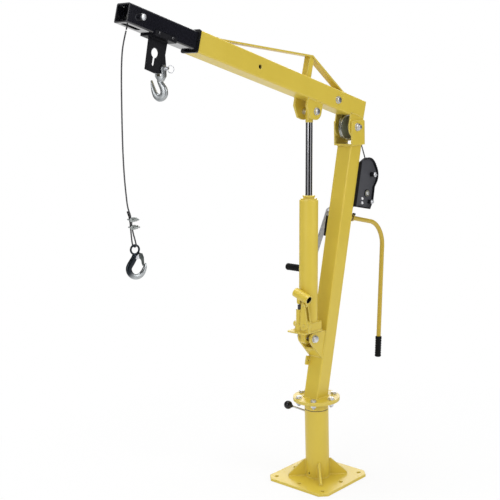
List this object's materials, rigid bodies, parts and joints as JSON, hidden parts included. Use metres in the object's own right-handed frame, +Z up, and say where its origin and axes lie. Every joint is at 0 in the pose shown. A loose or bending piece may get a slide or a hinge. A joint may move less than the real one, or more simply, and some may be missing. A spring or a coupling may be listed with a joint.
{
  "type": "truck jib crane",
  "caption": "Swivelling pickup-truck jib crane: bolted pedestal, leaning mast, jack-raised boom with sliding extension, hand winch, wire rope and hooks.",
  "frame": {"origin": "centre of the base plate on its underside", "axes": "+X along the boom, +Z up the swivel axis, +Y to the side opposite the crank"},
  "size_m": [1.3204, 0.365, 1.7278],
  "materials": {
    "yellow_paint": "gloss",
    "black_paint": "satin",
    "zinc": "zinc plated",
    "spindle_steel": "machined",
    "pulley_steel": "satin",
    "wire_rope": "stranded",
    "chrome": "polished",
    "black_plastic": "satin",
    "rubber": "matte"
  },
  "bodies": {
    "base": {"base_plate": "yellow_paint", "pedestal_tube": "yellow_paint", "base_gussets": "yellow_paint", "swivel_bushes": "black_plastic"},
    "lock_pin": {"lock_pin": "zinc", "lock_pin_knob": "black_plastic"},
    "mast": {"swivel_spindle": "spindle_steel", "swivel_collar": "yellow_paint", "mast_flange": "yellow_paint", "flange_bolts": "zinc", "mast_tube": "yellow_paint", "mast_head": "yellow_paint", "mast_pivot_bolts": "zinc", "jack_bracket": "yellow_paint", "mast_tab": "yellow_paint", "winch_frame": "black_paint", "winch_axles": "zinc", "winch_mount_bolts": "zinc", "turning_handle": "yellow_paint", "handle_socket": "black_paint", "handle_grip": "rubber", "side_pad": "rubber", "mast_cable": "wire_rope"},
    "head_pulley": {"head_pulley": "pulley_steel"},
    "winch_drum": {"winch_drum": "black_paint", "drum_gear": "black_paint", "drum_winding": "wire_rope"},
    "winch_crank": {"winch_crank": "zinc"},
    "crank_grip": {"crank_grip": "black_plastic"},
    "winch_pawl": {"winch_pawl": "black_paint"},
    "boom": {"boom_tube": "yellow_paint", "boom_lugs": "yellow_paint", "truss_strap": "yellow_paint", "truss_post": "yellow_paint", "ram_lugs": "yellow_paint", "boom_bolts": "zinc", "boom_collar": "black_plastic", "boom_cable": "wire_rope"},
    "guide_roller": {"guide_roller": "black_plastic"},
    "extension": {"extension_tube": "black_paint", "hook_bracket": "black_paint", "bracket_screws": "zinc", "front_axle": "zinc", "tip_cable": "wire_rope"},
    "front_pulley": {"front_pulley": "pulley_steel"},
    "grab_hook": {"grab_hook": "zinc", "grab_hook_pin": "zinc"},
    "load_line": {"load_cable": "wire_rope", "cable_end_sleeve": "black_plastic", "cable_clips": "zinc"},
    "load_hook": {"load_hook": "zinc"},
    "hook_latch": {"hook_latch": "zinc"},
    "ram": {"jack_ram": "chrome"},
    "jack": {"jack_base": "yellow_paint", "jack_reservoir": "yellow_paint", "jack_cap": "yellow_paint", "pump_body": "yellow_paint"},
    "release_valve": {"release_valve": "zinc"},
    "pump_socket": {"pump_socket": "yellow_paint"},
    "pump_plunger": {"pump_plunger": "spindle_steel"}
  },
  "joints": [
    {"name": "mast_turn", "type": "hinge", "parent": "base", "child": "mast", "pos_m": [0, 0, 0.3], "axis": [0, 0, 1], "continuous": true},
    {"name": "lock_pin_pull", "type": "slide", "parent": "base", "child": "lock_pin", "axis": [0.5983, -0.7207, 0.3502], "range_m": [-0.008, 0.004]},
    {"name": "boom_lift", "type": "hinge", "parent": "mast", "child": "boom", "pos_m": [-0.215, 0, 1.307], "axis": [0, -1, 0], "range_deg": [-25, 18]},
    {"name": "head_pulley_spin", "type": "hinge", "parent": "mast", "child": "head_pulley", "pos_m": [-0.215, 0, 1.307], "axis": [0, -1, 0], "continuous": true},
    {"name": "drum_spin", "type": "hinge", "parent": "mast", "child": "winch_drum", "pos_m": [-0.3042, 0, 1.12358], "axis": [0, -1, 0], "continuous": true},
    {"name": "crank_turn", "type": "hinge", "parent": "mast", "child": "winch_crank", "pos_m": [-0.27446, 0, 1.05473], "axis": [0, -1, 0], "continuous": true},
    {"name": "crank_grip_spin", "type": "hinge", "parent": "winch_crank", "child": "crank_grip", "pos_m": [-0.112, -0.172, 0.77], "axis": [0, -1, 0], "continuous": true},
    {"name": "pawl_swing", "type": "hinge", "parent": "mast", "child": "winch_pawl", "pos_m": [-0.28735, 0, 1.02115], "axis": [0, -1, 0], "range_deg": [0, 35], "stiffness_Nm_per_rad": 0.05, "springref_deg": -22.92},
    {"name": "guide_roller_spin", "type": "hinge", "parent": "boom", "child": "guide_roller", "pos_m": [-0.11013, 0, 1.41026], "axis": [0, -1, 0], "continuous": true},
    {"name": "extension_slide", "type": "slide", "parent": "boom", "child": "extension", "axis": [0.9583, 0, 0.2857], "range_m": [-0.08, 0.16]},
    {"name": "front_pulley_spin", "type": "hinge", "parent": "extension", "child": "front_pulley", "pos_m": [0.80824, 0, 1.68644], "axis": [0, -1, 0], "continuous": true},
    {"name": "grab_hook_swing", "type": "hinge", "parent": "extension", "child": "grab_hook", "pos_m": [0.70819, 0, 1.53902], "axis": [-0.2588, 0.9659, 0], "range_deg": [-20, 45]},
    {"name": "load_line_hang", "type": "hinge", "parent": "extension", "child": "load_line", "pos_m": [0.84179, 0, 1.64917], "axis": [0, -1, 0], "range_deg": [-19, 26]},
    {"name": "load_hook_swing", "type": "hinge", "parent": "load_line", "child": "load_hook", "pos_m": [0.85, 0, 1.0155], "axis": [-0.2924, 0.9563, 0], "range_deg": [-25, 25]},
    {"name": "latch_swing", "type": "hinge", "parent": "load_hook", "child": "hook_latch", "pos_m": [0.84903, 0.00026, 0.9822], "axis": [0.2588, 0.9659, 0], "range_deg": [-25, 0], "stiffness_Nm_per_rad": 0.03, "springref_deg": 22.92},
    {"name": "ram_pivot", "type": "hinge", "parent": "boom", "child": "ram", "pos_m": [0.01184, 0, 1.37567], "axis": [0, -1, 0], "range_deg": [-18, 25]},
    {"name": "ram_stroke", "type": "slide", "parent": "ram", "child": "jack", "axis": [0.0363, 0, -0.9993], "range_m": [-0.102, 0.075]},
    {"name": "release_valve_turn", "type": "hinge", "parent": "jack", "child": "release_valve", "pos_m": [0.04799, -0.045, 0.60206], "axis": [0, -1, 0], "range_deg": [0, 120]},
    {"name": "pump_socket_rock", "type": "hinge", "parent": "jack", "child": "pump_socket", "pos_m": [0.08879, 0.027, 0.6906], "axis": [0.9993, 0, 0.0363], "range_deg": [-10, 25]},
    {"name": "pump_plunger_stroke", "type": "slide", "parent": "jack", "child": "pump_plunger", "axis": [-0.0363, 0, 0.9993], "range_m": [-0.0125, 0.005]}
  ],
  "couplings": [
    {"joint": "crank_turn", "follows": "drum_spin", "ratio": -3},
    {"joint": "ram_pivot", "follows": "boom_lift", "ratio": -0.9426},
    {"joint": "ram_stroke", "follows": "boom_lift", "m_per_rad": 0.2286},
    {"joint": "load_line_hang", "follows": "boom_lift", "ratio": -1},
    {"joint": "pump_plunger_stroke", "follows": "pump_socket_rock", "m_per_rad": -0.027}
  ]
}
